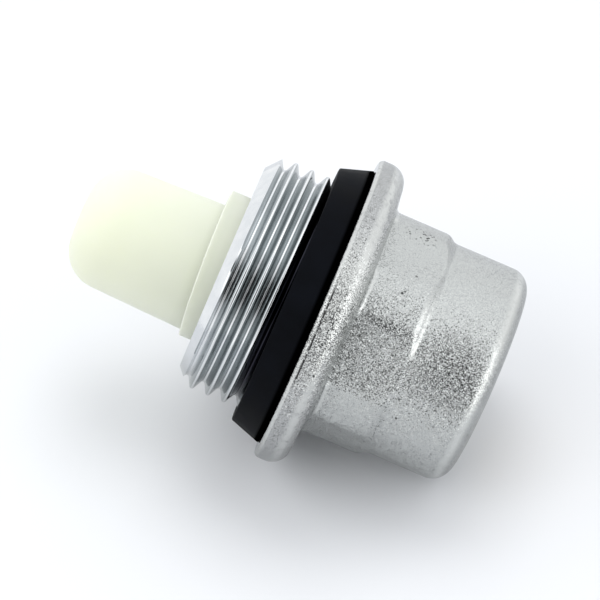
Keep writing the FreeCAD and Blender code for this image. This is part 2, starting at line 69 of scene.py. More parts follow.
# body, from the frame where the frame says it
body_low, body_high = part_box("vent_body")
SKIRT_END_X = body_low[0] / MM
CAP_END_X = body_high[0] / MM
FLANGE_R = body_high[2] / MM
gasket_low, gasket_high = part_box("flange_gasket")
FLANGE_X = gasket_high[0] / MM
GASKET_BORE_R = 15.1
GASKET_FACE_R = 18.35
GASKET_FLANGE_R = 19.7
GASKET_LIP_R = 16.75
GASKET_LIP_DEPTH = 0.4
GASKET_SOFT = 0.22           # rounding of the gasket's outer edges
GASKET_COVER = 0.4           # the flange's back is covered up to this far inside the gasket's edge
FLANGE_ROUND = 2.65          # on the cap's side
FLANGE_BACK_ROUND = 0.72     # on the gasket's side
FLANGE_TOP_X = 8.8
HEX_FOOT = 0.8               # fillet at the foot of the hexagon
HEX_FOOT_X = FLANGE_TOP_X + 0.3
HEX_FLAT_R = 15.2
HEX_CORNER_R = 15.95
HEX_CORNER_ANGLE = -27.0
HEX_START_X = FLANGE_TOP_X + 0.42
HEX_FADE_X = HEX_START_X - 0.6
HEX_END_X = 16.5
HEX_SOFT = 0.30              # how softly the flats meet the turned corners
HEX_RUN_OUT = 4.0            # how fast a flat fades in the fillet, mm per mm
SLOPE_CONVEX_SHARE = 0.57    # share of the slope from hexagon to cap that bulges
SKIN_HEIGHT = 0.035          # unevenness of the cast skin
SKIN_WAVES = ((0.22, 0.6), (0.85, 0.4))     # waves per millimetre and their share of the height
CAP_R = 15.17
CAP_START_X = 18.55
CAP_ROUND = 2.8
CAP_END_RINGS = (10.5, 8.2)  # radii of two rings of the mesh on the cap's flat end
BORE_R = 12.5
SHOULDER_X = 9.5
CHAMBER_R = 11.0
CHAMBER_END_X = 18.0
WALL_HOLE_R = 3.0
RECESS_X = 24.0
RECESS_R = 6.0
RING_GROOVE_X = 6.3
RING_GROOVE_END_X = 7.5
RING_GROOVE_R = 13.3
EDGE_CHAMFER = 0.4
WALL_MARGIN = 1.0            # faces this close to a bore belong to it

# float
cup_low, cup_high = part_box("float_cup")
CUP_MOUTH_X = cup_high[0] / MM
CUP_Z = (cup_low[2] + cup_high[2]) / 2 / MM
CUP_MOUTH_R = 8.85
CUP_TIP_R = 8.4
CUP_TIP_X = -24.1
CUP_ROUND = 5.2
CUP_WALL = 1.0
CUP_DOME = 0.15              # height of the dome on the flat end
CUP_DOME_RINGS = (2.7, 2.1, 1.5, 1.12)
# the moulding gate's mark: x from the flat end, and radius
CUP_DIMPLE = ((-0.10, 1.0), (-0.02, 0.9), (0.0, 0.6), (0.0, 0.0))
CUP_STEP = 0.02              # the cup is this much under the collar's bore
base_low, base_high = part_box("float_base")
BASE_X = base_high[0] / MM
BASE_Z = (base_low[2] + base_high[2]) / 2 / MM
BASE_R = 10.3
BASE_END_X = -11.4
BASE_TILT = math.radians(3.6)
BASE_EDGE = 0.07             # rounding of the collar's outer edge
BASE_INNER_EDGE = 0.3
CUP_ENTRY = 0.12             # chamfer of the collar round the cup


# ---------------------------------------------------------------- outlines

def arc(centre, radius, first, last, steps):
    """Points of an arc in (x, r), angles in degrees from +x towards +r."""
    points = []
    for number in range(steps + 1):
        turn = math.radians(first + (last - first) * number / steps)
        points.append((centre[0] + radius * math.cos(turn), centre[1] + radius * math.sin(turn)))
    return points


def line(start, end, steps):
    """Points from start up to but not including end."""
    return [
        (start[0] + (end[0] - start[0]) * n / steps, start[1] + (end[1] - start[1]) * n / steps)
        for n in range(steps)
    ]


def smooth_least(a, b, blend):
    """The smaller of two values, rounded where they are close."""
    share = max(blend - abs(a - b), 0.0) / blend
    return min(a, b) - share * share * blend / 4


def flange_and_cap_outline():
    """Outside of the body from the gasket's seat to the outlet recess."""
    back_centre = (FLANGE_X + FLANGE_BACK_ROUND, FLANGE_R - FLANGE_BACK_ROUND)
    edge_centre = (FLANGE_TOP_X - FLANGE_ROUND, FLANGE_R - FLANGE_ROUND)
    foot_centre = (HEX_FOOT_X + HEX_FOOT, HEX_CORNER_R + HEX_FOOT)
    drop = HEX_CORNER_R - CAP_R
    run = CAP_START_X - HEX_END_X
    lean = 2 * math.atan2(drop, run)
    both_radii = run / math.sin(lean)
    convex = SLOPE_CONVEX_SHARE * both_radii
    concave = both_radii - convex
    full = math.degrees(lean)
    cap_centre = (CAP_END_X - CAP_ROUND, CAP_R - CAP_ROUND)
    points = [(0, GASKET_BORE_R), (FLANGE_X, GASKET_BORE_R)]
    points += [(FLANGE_X, GASKET_FLANGE_R - GASKET_COVER)]
    points += arc(back_centre, FLANGE_BACK_ROUND, 180, 90, 10)
    points += arc(edge_centre, FLANGE_ROUND, 90, 0, 16)
    points += arc(foot_centre, HEX_FOOT, 180, 270, 8)[:-1]
    points += line((foot_centre[0], HEX_CORNER_R), (HEX_END_X, HEX_CORNER_R), 20)
    points += arc((HEX_END_X, HEX_CORNER_R - convex), convex, 90, 90 - full, 8)[:-1]
    points += arc((CAP_START_X, CAP_R + concave), concave, 270 - full, 270, 6)
    points += line((CAP_START_X + 0.4, CAP_R), (cap_centre[0], CAP_R), 22)
    points += arc(cap_centre, CAP_ROUND, 90, 0, 14)
    points += [(CAP_END_X, radius) for radius in CAP_END_RINGS]
    points += [(CAP_END_X, RECESS_R + EDGE_CHAMFER), (CAP_END_X - EDGE_CHAMFER, RECESS_R)]
    return points


def inner_outline():
    """Outlet recess, wall, valve chamber and float bore, back to the threaded end."""
    return [
        (RECESS_X, RECESS_R),
        (RECESS_X, WALL_HOLE_R),
        (CHAMBER_END_X, WALL_HOLE_R),
        (CHAMBER_END_X, CHAMBER_R),
        (SHOULDER_X, CHAMBER_R),
        (SHOULDER_X, BORE_R),
        (RING_GROOVE_END_X, BORE_R),
        (RING_GROOVE_END_X, RING_GROOVE_R),
        (RING_GROOVE_X, RING_GROOVE_R),
        (RING_GROOVE_X, BORE_R),
        (0, BORE_R),
        (-5, BORE_R),
        (SKIRT_END_X + EDGE_CHAMFER, BORE_R),
        (SKIRT_END_X + 0.1, BORE_R + 0.12),
        (SKIRT_END_X, BORE_R + EDGE_CHAMFER),
    ]


def thread_radius(x, angle):
    """Radius of the left-hand thread at x and an angle in degrees from +Z towards -Y."""
    phase = (x - CREST_X + PITCH * (angle - CREST_ANGLE) / 360) % PITCH
    off = min(phase, PITCH - phase)
    half = PITCH / 2
    side = THREAD_ROUND * math.cos(FLANK)
    drop = THREAD_ROUND * (1 - math.sin(FLANK))
    if off < side:
        radius = MAJOR_R - THREAD_ROUND + math.sqrt(THREAD_ROUND ** 2 - off ** 2)
    elif half - off < side:
        radius = MINOR_R + THREAD_ROUND - math.sqrt(THREAD_ROUND ** 2 - (half - off) ** 2)
    else:
        share = (off - side) / (half - 2 * side)
        radius = MAJOR_R - drop + (MINOR_R - MAJOR_R + 2 * drop) * share
    slope = (MAJOR_R - LEAD_IN_R) / (LEAD_IN_X - SKIRT_END_X)
    lead_in = LEAD_IN_R + (x - SKIRT_END_X) * slope
    return min(radius, lead_in)


def hexagon_radius(x, radius, angle):
    """The outline's radius, milled down to the flats between the flange and the cap."""
    if not HEX_FADE_X < x < CAP_START_X:
        return radius
    off = (angle - HEX_CORNER_ANGLE) % 60 - 30
    flat = HEX_FLAT_R / math.cos(math.radians(off))
    if x < HEX_START_X:
        # the flats run out in the fillet at the foot of the flange
        flat += (HEX_START_X - x) * HEX_RUN_OUT
    return smooth_least(radius, flat, HEX_SOFT)


# ---------------------------------------------------------------- meshes

def at(x, radius, angle, centre_z=0.0):
    """A point in metres from millimetres and an angle in degrees from +Z towards -Y."""
    turn = math.radians(angle)
    return Vector((x, -radius * math.sin(turn), centre_z + radius * math.cos(turn))) * MM


def cast_skin(point, height):
    """The uneven skin of a casting: point moved along the radius by a small smooth noise, in mm."""
    radial = Vector((0, point.y, point.z)).normalized()
    wave = sum(noise.noise(point / MM * scale) * share for scale, share in SKIN_WAVES)
    return point + radial * (wave * height * MM)


def skin(bm, rows):
    """Faces between rings of the same length. Each ring is a list of vertices."""
    for first, second in zip(rows, rows[1:]):
        count = len(first)
        for n in range(count):
            corners = (first[n], first[(n + 1) % count], second[(n + 1) % count], second[n])
            if len(set(corners)) == 4:
                bm.faces.new(corners)


def finish_mesh(name, bm, body, stands_for, materials, sharp=40.0):
    """Make the mesh an object that rides on a body and stands for a CAD node."""
    bmesh.ops.remove_doubles(bm, verts=bm.verts, dist=2e-6)
    bmesh.ops.dissolve_degenerate(bm, edges=bm.edges, dist=1e-7)
    bmesh.ops.recalc_face_normals(bm, faces=bm.faces)
    mesh = bpy.data.meshes.new(name)
    bm.to_mesh(mesh)
    bm.free()
    mesh.shade_smooth()
    mesh.set_sharp_from_angle(angle=math.radians(sharp))
    piece = bpy.data.objects.new(name, mesh)
    bpy.context.scene.collection.objects.link(piece)
    for material in materials:
        mesh.materials.append(material)
    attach(piece, body)
    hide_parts(stands_for)
    return piece


def thread_rings(bm):
    """Faces between rings that follow the helix, so that crests and roots lie on the mesh's own lines."""
    half = PITCH / 2
    side = THREAD_ROUND * math.cos(FLANK)
    crest = [0, 0.32 * side, 0.65 * side, side]
    flank = [side + (half - 2 * side) * share for share in (0.25, 0.5, 0.75, 1.0)]
    root = [half - 0.6 * side, half - 0.3 * side]
    offs = crest + flank + root
    phases = sorted([-off for off in offs[1:]] + offs + [half])
    starts = []
    turn = math.floor((SKIRT_END_X - CREST_X) / PITCH) - 1
    while CREST_X + turn * PITCH < 2 * PITCH:
        starts += [CREST_X + turn * PITCH + phase for phase in phases]
        turn += 1
    starts = [s for s in starts if s > SKIRT_END_X - half and s < PITCH + half]
    rings = []
    for start in starts:
        ring = []
        for n in range(COLUMNS + 1):
            angle = CREST_ANGLE + 360 * n / COLUMNS
            x = start - PITCH * n / COLUMNS
            x = min(max(x, SKIRT_END_X), 0.0)
            ring.append(bm.verts.new(at(x, thread_radius(x, angle), angle)))
        rings.append(ring)
    for first, second in zip(rings, rings[1:]):
        for n in range(COLUMNS):
            bm.faces.new((first[n], first[n + 1], second[n + 1], second[n]))


def ring_of(bm, x, radius_at, centre_z=0.0, uneven=0.0):
    """A ring of vertices at x, with the radius given for each angle."""
    ring = []
    for n in range(COLUMNS):
        angle = CREST_ANGLE + 360 * n / COLUMNS
        point = at(x, radius_at(angle), angle, centre_z)
        if uneven:
            point = cast_skin(point, uneven)
        ring.append(bm.verts.new(point))
    return ring


def vent_body(cast, machined):
    """The casting with its thread, flange, hexagon and cap, closed inside and out."""
    bm = bmesh.new()
    thread_rings(bm)
    rows = [ring_of(bm, 0.0, lambda angle: thread_radius(0.0, angle))]
    for x, radius in flange_and_cap_outline():
        cast_outside = x > FLANGE_X and radius > RECESS_R + 0.5
        uneven = SKIN_HEIGHT if cast_outside else 0.0
        rows.append(ring_of(bm, x, lambda angle: hexagon_radius(x, radius, angle), 0.0, uneven))
    for x, radius in inner_outline():
        rows.append(ring_of(bm, x, lambda angle: radius))
    rows.append(ring_of(bm, SKIRT_END_X, lambda angle: LEAD_IN_R))
    skin(bm, rows)
    piece = finish_mesh("vent_body_skin", bm, "vent", "vent_body", (cast, machined), 38.0)
    for face in piece.data.polygons:
        x = face.center.x / MM
        radius = math.hypot(face.center.y, face.center.z) / MM
        bore = BORE_R if x < CHAMBER_END_X else RECESS_R
        inside = radius < bore + WALL_MARGIN and x < CAP_END_X - 0.05
        face.material_index = 1 if x < FLANGE_X + 0.03 or inside else 0
    return piece


def gasket(material):
    """Tapered rubber ring, softened at its edges. The tapered side rises towards the flange."""
    soft = GASKET_SOFT
    slope = math.degrees(math.atan2(GASKET_FLANGE_R - GASKET_FACE_R, FLANGE_X))
    points = [(GASKET_LIP_DEPTH, GASKET_BORE_R), (0.0, GASKET_LIP_R), (0.0, 17.4)]
    points += arc((soft, GASKET_FACE_R - soft), soft, 180, 90 + slope, 6)
    points += line(points[-1], (FLANGE_X - soft, GASKET_FLANGE_R), 12)[1:]
    points += arc((FLANGE_X - soft, GASKET_FLANGE_R - soft), soft, 90, 0, 6)
    points += [(FLANGE_X, 17.5), (FLANGE_X, GASKET_BORE_R)]
    bm = bmesh.new()
    rows = [ring_of(bm, x, lambda angle: radius) for x, radius in points]
    skin(bm, rows + rows[:1])
    return finish_mesh("flange_gasket_skin", bm, "vent", "flange_gasket", (material,))


def float_cup(material):
    """The milky float shell with its rounded end and the moulding gate's dimple."""
    outer = (CUP_TIP_X, CUP_TIP_R - CUP_ROUND)
    end_x = CUP_TIP_X - CUP_ROUND
    mouth_r = CUP_MOUTH_R - CUP_STEP
    points = [(CUP_MOUTH_X, mouth_r), (BASE_END_X + 0.3, mouth_r)]
    points += line((BASE_END_X, mouth_r), (CUP_TIP_X, CUP_TIP_R), 26)
    points += arc(outer, CUP_ROUND, 90, 180, 22)
    dome_r = (outer[1] ** 2 + CUP_DOME ** 2) / (2 * CUP_DOME)
    for radius in CUP_DOME_RINGS:
        points.append((end_x - CUP_DOME + dome_r - math.sqrt(dome_r ** 2 - radius ** 2), radius))
    points += [(end_x + step, radius) for step, radius in CUP_DIMPLE]
    inside = [(end_x + CUP_WALL, 0.0), (end_x + CUP_WALL, outer[1])]
    inside += arc(outer, CUP_ROUND - CUP_WALL, 180, 90, 12)[1:]
    inside += [(CUP_MOUTH_X, CUP_MOUTH_R - CUP_WALL)]
    bm = bmesh.new()
    rows = [ring_of(bm, x, lambda angle: radius, CUP_Z) for x, radius in points]
    skin(bm, rows)
    inner_rows = [ring_of(bm, x, lambda angle: radius, CUP_Z) for x, radius in inside]
    skin(bm, inner_rows)
    skin(bm, [inner_rows[-1], rows[0]])
    return finish_mesh("float_cup_skin", bm, "float", "float_cup", (material,))


def float_base(material):
    """The collar round the cup's mouth, whose outer face leans out at the top."""
    lean = math.tan(BASE_TILT)
    edge = BASE_EDGE
    bm = bmesh.new()

    def tilted(ring):
        for vert in ring:
            vert.co.x = vert.co.x - (vert.co.z - BASE_Z * MM) * lean
        return ring

    def plain(x, radius, centre_z=BASE_Z):
        return ring_of(bm, x, lambda angle: radius, centre_z)

    rows = [plain(BASE_X, 0.0)]
    rows += [plain(BASE_X, BASE_R - BASE_INNER_EDGE)]
    rows += [plain(BASE_X - BASE_INNER_EDGE / 3, BASE_R - BASE_INNER_EDGE / 3)]
    rows += [plain(BASE_X - BASE_INNER_EDGE, BASE_R)]
    for x, radius in arc((BASE_END_X + edge, BASE_R - edge), edge, 90, 180, 3):
        rows.append(tilted(plain(x, radius)))
    rows += [tilted(plain(BASE_END_X, CUP_MOUTH_R + CUP_ENTRY, CUP_Z))]
    rows += [tilted(plain(BASE_END_X + CUP_ENTRY, CUP_MOUTH_R, CUP_Z))]
    rows += [plain(CUP_MOUTH_X, CUP_MOUTH_R, CUP_Z), plain(CUP_MOUTH_X, 0.0, CUP_Z)]
    skin(bm, rows)
    return finish_mesh("float_base_skin", bm, "float", "float_base", (material,))


# ---------------------------------------------------------------- materials

RAMP_SOCKETS = ("From Min", "From Max", "To Min", "To Max")


class Shader:
    """A material under construction: a Principled shader and helpers that add nodes to it."""

    def __init__(self, name):
        self.material = bpy.data.materials.new(name)
        self.material.use_nodes = True
        self.nodes = self.material.node_tree.nodes
        self.links = self.material.node_tree.links
        self.surface = self.nodes["Principled BSDF"]
        source = self.nodes.new("ShaderNodeTexCoord")
        self.place = source.outputs["Object"]
        self.x = self.part_of(self.place, 0)
        self.faces_x = self.part_of(source.outputs["Normal"], 0)

    def set(self, **values):
        for key, value in values.items():
            self.surface.inputs[key.replace("_", " ").title()].default_value = value

    def link(self, output, name):
        self.links.new(output, self.surface.inputs[name])

    def part_of(self, vector, number):
        node = self.nodes.new("ShaderNodeSeparateXYZ")
        self.links.new(vector, node.inputs[0])
        return node.outputs[number]

    def noise(self, scale, detail=2.0, rough=0.5, place=None):
        """Noise from 0 to 1. Scale is in cells per millimetre, and place replaces the object's own."""
        node = self.nodes.new("ShaderNodeTexNoise")
        node.inputs["Scale"].default_value = scale / MM
        node.inputs["Detail"].default_value = detail
        node.inputs["Roughness"].default_value = rough
        self.links.new(place or self.place, node.inputs["Vector"])
        return node.outputs["Fac"]

    def cells(self, scale):
        """Distance to the nearest of scattered points, as a share of their spacing."""
        node = self.nodes.new("ShaderNodeTexVoronoi")
        node.inputs["Scale"].default_value = scale / MM
        self.links.new(self.place, node.inputs["Vector"])
        return node.outputs["Distance"]

    def distance(self, point, along=1.0):
        """Distance from a fixed point of the object, with lengths along x scaled."""
        scaled = self.nodes.new("ShaderNodeVectorMath")
        scaled.operation = "MULTIPLY"
        self.links.new(self.place, scaled.inputs[0])
        scaled.inputs[1].default_value = (along, 1.0, 1.0)
        node = self.nodes.new("ShaderNodeVectorMath")
        node.operation = "DISTANCE"
        self.links.new(scaled.outputs["Vector"], node.inputs[0])
        node.inputs[1].default_value = (point.x * along, point.y, point.z)
        return node.outputs["Value"]

    def math(self, operation, a, b=0.0):
        node = self.nodes.new("ShaderNodeMath")
        node.operation = operation
        for socket, value in zip(node.inputs, (a, b)):
            if isinstance(value, (int, float)):
                socket.default_value = value
            else:
                self.links.new(value, socket)
        return node.outputs[0]

    def ramp(self, value, low, high, to_low=0.0, to_high=1.0):
        """Value mapped from low..high to to_low..to_high, held at both ends."""
        node = self.nodes.new("ShaderNodeMapRange")
        self.links.new(value, node.inputs["Value"])
        for name, number in zip(RAMP_SOCKETS, (low, high, to_low, to_high)):
            node.inputs[name].default_value = number
        return node.outputs["Result"]

    def both(self, a, b):
        """Product of two shares: strong only where both are."""
        return self.math("MULTIPLY", a, b)

    def either(self, a, b):
        """The larger of two shares."""
        return self.math("MAXIMUM", a, b)

    def without(self, share):
        """What a share leaves of 1."""
        return self.math("SUBTRACT", 1.0, share)

    def along_x(self, low, high, to_low=0.0, to_high=1.0):
        """A ramp along x, in millimetres."""
        return self.ramp(self.x, low * MM, high * MM, to_low, to_high)

    def near(self, point, inner, outer, within=1.0, beyond=0.0, along=1.0):
        """A ramp from inner to outer millimetres off a fixed point of the object."""
        return self.ramp(self.distance(point, along), inner * MM, outer * MM, within, beyond)

    def mix(self, share, first, second):
        """Colour between first and second. Either may be a colour or an output."""
        node = self.nodes.new("ShaderNodeMix")
        node.data_type = "RGBA"
        for name, value in (("A", first), ("B", second)):
            socket = [s for s in node.inputs if s.name == name and s.type == "RGBA"][0]
            if isinstance(value, tuple):
                socket.default_value = (*value, 1.0)
            else:
                self.links.new(value, socket)
        self.links.new(share, node.inputs["Factor"])
        return [s for s in node.outputs if s.type == "RGBA"][0]

    def bump(self, height, depth_mm, strength=1.0, under=None):
        node = self.nodes.new("ShaderNodeBump")
        node.inputs["Strength"].default_value = strength
        node.inputs["Distance"].default_value = depth_mm * MM
        self.links.new(height, node.inputs["Height"])
        if under is not None:
            self.links.new(under, node.inputs["Normal"])
        return node.outputs["Normal"]

    def facets(self, scale, tilt, under):
        """Normals tilted at random, one tilt for each grain. Scale is in grains per millimetre."""
        grains = self.nodes.new("ShaderNodeTexVoronoi")
        grains.inputs["Scale"].default_value = scale / MM
        self.links.new(self.place, grains.inputs["Vector"])
        vectors = []
        for operation in ("SUBTRACT", "SCALE", "ADD", "NORMALIZE"):
            node = self.nodes.new("ShaderNodeVectorMath")
            node.operation = operation
            if vectors:
                self.links.new(vectors[-1].outputs["Vector"], node.inputs[0])
            vectors.append(node)
        self.links.new(grains.outputs["Color"], vectors[0].inputs[0])
        vectors[0].inputs[1].default_value = (0.5, 0.5, 0.5)
        self.links.new(tilt, vectors[1].inputs["Scale"])
        self.links.new(under, vectors[2].inputs[1])
        return vectors[3].outputs["Vector"]

    def round_the_axis(self):
        """(x, distance from the thread axis, 0), for marks that a lathe leaves."""
        parts = self.nodes.new("ShaderNodeSeparateXYZ")
        self.links.new(self.place, parts.inputs[0])
        squares = [self.math("POWER", parts.outputs[number], 2.0) for number in (1, 2)]
        joined = self.nodes.new("ShaderNodeCombineXYZ")
        self.links.new(parts.outputs[0], joined.inputs[0])
        self.links.new(self.math("SQRT", self.math("ADD", *squares)), joined.inputs[1])
        return joined.outputs[0]


# places on the casting's skin
PIT_CLUSTER = at(13.4, 15.8, -13)       # on one of the hexagon's flats
CAP_PORES = at(23.7, 15.2, 54)          # middle of the cap
CORNER_PORES = at(13.6, 15.8, 45)       # along one corner of the hexagon
RIM_PORES = at(6.4, 21.0, 56)           # round the flange
SEAM_MIDDLE = at(5.7, 21.4, 60)
SEAM_X = FLANGE_X + 0.70
# middles of the painted light on the flange, of the painted highlight that stays on the slope and of the
# painted shade on the slope
FLANGE_LIT_MIDDLE = at(6.4, 21.0, 50)
HIGHLIGHT_CORNER = at(17.4, 15.6, 45)      # on the slope from hexagon to cap
SHADED_SLOPE = at(17.4, 15.6, -15)


def pitted(s, patches):
    """0 in scattered pits and in a cluster of small ones, 1 elsewhere."""
    pits = s.either(s.ramp(s.cells(0.55), 0.05, 0.12), s.ramp(patches, 0.58, 0.62, 1.0, 0.0))
    cluster = s.either(s.near(PIT_CLUSTER, 0.7, 2.0, 0.0, 1.0, 0.7), s.ramp(s.cells(1.9), 0.22, 0.30))
    return s.math("MINIMUM", pits, cluster)


def seamed(s):
    """0 along a broken line of pores close to the flange's edge, 1 elsewhere."""
    off = s.math("ABSOLUTE", s.math("SUBTRACT", s.x, SEAM_X * MM))
    seam = s.either(s.ramp(off, 0.08 * MM, 0.14 * MM), s.near(SEAM_MIDDLE, 6.0, 8.0, 0.0, 1.0))
    return s.either(seam, s.ramp(s.noise(1.4, 1.0), 0.56, 0.60))


def cast_zinc():
    """Zinc-plated casting: grey with a fine sandy grain and porous in places, with painted highlights on
    some edges and painted shade on the slope to the cap, on the cap's edge and on the flange away from
    its middle.
    """
    s = Shader("cast_zinc")
    s.set(metallic=0.95)
    grain = s.noise(8.0, 1.0)
    coarse = s.noise(1.3, 1.0)
    patches = s.noise(0.13, 1.0)
    pits = pitted(s, patches)
    porous = s.either(s.near(CAP_PORES, 2.0, 6.0), s.near(CORNER_PORES, 0.4, 1.3, 1.0, 0.0, 0.2))
    porous = s.either(porous, s.near(RIM_PORES, 2.0, 10.0, 0.9))
    pores = s.either(s.ramp(s.noise(6.5, 1.0), 0.44, 0.49), s.without(porous))
    pores = s.both(pores, seamed(s))
    # painted highlight on edges that face along the axis, but on the slope only at the end of one corner
    painted_highlight = s.both(s.ramp(s.faces_x, 0.10, 0.35), s.ramp(s.faces_x, 0.50, 0.80, 1.0, 0.1))
    slope = s.both(s.along_x(15.0, 15.5), s.along_x(20.0, 20.5, 1.0, 0.0))
    slope = s.both(slope, s.near(HIGHLIGHT_CORNER, 3.2, 6.5, 0.0, 0.9))
    painted_highlight = s.both(painted_highlight, s.without(slope))
    # painted highlight also on the flange's back rim, where it faces the threaded end
    rim = s.both(s.ramp(s.faces_x, -0.2, -0.4), s.along_x(7.0, 6.5))
    painted_highlight = s.both(s.either(painted_highlight, rim), s.ramp(coarse, 0.30, 0.50, 0.5, 1.0))
    # painted shade on the rest of that slope and on the outer side of the cap's edge
    painted_shade = s.both(slope, s.ramp(s.faces_x, 0.06, 0.25, 0.0, 0.55))
    painted_shade = s.both(painted_shade, s.near(SHADED_SLOPE, 6.5, 9.5, 1.0, 0.25))
    cap_edge_shade = s.both(s.ramp(s.faces_x, 0.45, 0.70, 0.0, 0.6), s.ramp(s.faces_x, 0.90, 0.98, 1.0, 0.0))
    painted_shade = s.either(painted_shade, s.both(cap_edge_shade, s.along_x(25.5, 26.5)))
    # painted light and shade on the flange: lighter round its middle, darker away from there
    flange = s.along_x(8.5, 9.3, 1.0, 0.0)
    flange_light_and_shade = s.mix(s.near(FLANGE_LIT_MIDDLE, 5.5, 13.5, 0.0, 1.0), (0.73, 0.74, 0.72), (0.45, 0.455, 0.46))
    tone = s.mix(s.ramp(grain, 0.3, 0.6), (0.50, 0.515, 0.505), (0.62, 0.635, 0.625))
    tone = s.mix(s.both(flange, 0.6), tone, flange_light_and_shade)
    tone = s.mix(s.both(painted_highlight, 0.7), tone, (0.74, 0.75, 0.73))
    tone = s.mix(painted_shade, tone, (0.34, 0.35, 0.35))
    tone = s.mix(s.both(pits, pores), (0.05, 0.05, 0.05), tone)
    s.link(tone, "Base Color")
    s.link(s.ramp(coarse, 0.3, 0.7, 0.12, 0.17), "Roughness")
    normal = s.bump(coarse, 0.04, 0.4)
    normal = s.bump(grain, 0.02, 0.8, normal)
    normal = s.bump(pits, 0.12, 0.8, normal)
    tilt = s.math("ADD", s.ramp(patches, 0.38, 0.60, 0.60, 0.80), s.both(porous, 0.25))
    tilt = s.math("ADD", tilt, s.both(flange, 0.5))
    tilt = s.both(tilt, s.without(s.both(painted_highlight, 0.8)))
    s.link(s.facets(8.5, tilt, normal), "Normal")
    return s.material


# bands on the machined skin, with painted shade on the flanks and by the gasket
FLANK_REACH = 0.69           # the dark flanks end this far from the thread's middle radius
LEAD_IN_ENDS = LEAD_IN_X + 0.2          # beyond the chamfer of the first turn
GASKET_SHADE_START_X = -0.95        # where the thread meets the gasket
GASKET_SHADE_END_X = 3.0
GASKET_SHADE_R = 15.6


def machined_zinc():
    """Zinc plate on the cut thread and bore: bright, with painted shade on the flanks that leaves crests
    and roots bright, and where the thread meets the gasket.
    """
    s = Shader("machined_zinc")
    s.set(metallic=1.0)
    around = s.round_the_axis()
    marks = s.noise(14.0, 3.0, 0.6, around)
    smear = s.noise(0.5, 3.0)
    radius = s.part_of(around, 1)
    from_middle = s.math("ABSOLUTE", s.math("SUBTRACT", radius, (MAJOR_R + MINOR_R) / 2 * MM))
    # painted shade on the thread's flanks, and faintly all over the lead-in
    flank = s.ramp(from_middle, FLANK_REACH * MM, (FLANK_REACH + 0.03) * MM, 1.0, 0.0)
    flank = s.both(flank, s.along_x(LEAD_IN_ENDS - 0.3, LEAD_IN_ENDS))
    flank = s.either(flank, s.along_x(LEAD_IN_ENDS, LEAD_IN_ENDS - 0.3, 0.0, 0.15))
    bright = s.mix(s.ramp(smear, 0.35, 0.7), (0.84, 0.86, 0.88), (0.94, 0.95, 0.96))
    tone = s.mix(flank, bright, (0.41, 0.44, 0.45))
    # painted shade where the thread meets the gasket
    gasket_shade = s.both(
        s.along_x(GASKET_SHADE_START_X, GASKET_SHADE_START_X + 0.15), s.along_x(GASKET_SHADE_END_X, GASKET_SHADE_END_X + 1, 1.0, 0.0))
    gasket_shade = s.both(gasket_shade, s.ramp(radius, GASKET_SHADE_R * MM, (GASKET_SHADE_R + 0.3) * MM, 1.0, 0.0))
    s.link(s.mix(gasket_shade, tone, (0.03, 0.03, 0.04)), "Base Color")
    s.link(s.ramp(smear, 0.3, 0.7, 0.07, 0.11), "Roughness")
    s.link(s.bump(s.noise(2.5, 2.0), 0.015, 0.4, s.bump(marks, 0.008, 0.5)), "Normal")
    return s.material


def black_rubber(name, tint):
    """Moulded rubber: matte, with a dull bloom and a very fine grain, and painted shade next to the
    flange.
    """
    s = Shader(name)
    bloom = s.noise(0.25, 3.0)
    tone = s.mix(s.ramp(bloom, 0.35, 0.7), tint, tuple(c * 1.9 for c in tint))
    # painted shade next to the flange: black and without specular
    shade_by_flange = s.along_x(FLANGE_X - 1.1, FLANGE_X - 0.7)
    s.link(s.mix(shade_by_flange, tone, (0.0002, 0.0002, 0.0002)), "Base Color")
    s.link(s.ramp(bloom, 0.3, 0.7, 0.5, 0.65), "Roughness")
    s.link(s.ramp(shade_by_flange, 0.0, 1.0, 0.05, 0.0), "Specular IOR Level")
    s.link(s.bump(s.noise(5.0, 3.0), 0.02, 0.5), "Normal")
    return s.material


def milky_plastic():
    """Unpigmented polypropylene: milky and slightly yellow-green, with painted shade towards the mouth.
    """
    s = Shader("milky_plastic")
    cloud = s.noise(0.12, 2.0)
    # painted shade that grows towards the mouth, with a random cloud in it
    shade_to_mouth = s.along_x(-27, -9)
    shade_to_mouth = s.math("ADD", shade_to_mouth, s.ramp(cloud, 0.3, 0.7, -0.08, 0.08))
    tone = s.mix(shade_to_mouth, (0.83, 0.86, 0.68), (0.71, 0.735, 0.64))
    # painted shade where the collar meets the cup, and on the collar's outer face
    from_edge = s.math("ABSOLUTE", s.math("SUBTRACT", s.x, (BASE_END_X - 0.3) * MM))
    painted_shade = s.ramp(from_edge, 0.3 * MM, 1.3 * MM, 0.20, 0.0)
    painted_shade = s.either(painted_shade, s.both(s.ramp(s.faces_x, -0.08, -0.35), s.along_x(-14, -13)))
    s.link(s.mix(painted_shade, tone, (0.50, 0.52, 0.44)), "Base Color")
    s.set(subsurface_weight=1.0, subsurface_scale=0.0012)
    s.surface.inputs["Specular IOR Level"].default_value = 0.25
    s.surface.inputs["Subsurface Radius"].default_value = (1.0, 1.0, 1.0)
    s.link(s.ramp(cloud, 0.3, 0.7, 0.55, 0.65), "Roughness")
    s.link(s.bump(s.noise(1.2, 3.0), 0.02, 0.35), "Normal")
    return s.material


def sheet_steel():
    """Bright stainless sheet and wire, faintly rolled."""
    s = Shader("sheet_steel")
    s.set(metallic=1.0)
    rolled = s.noise(3.0, 3.0)
    s.link(s.mix(rolled, (0.55, 0.55, 0.56), (0.70, 0.70, 0.70)), "Base Color")
    s.link(s.ramp(rolled, 0.3, 0.7, 0.22, 0.36), "Roughness")
    s.link(s.bump(rolled, 0.01, 0.4), "Normal")
    return s.material


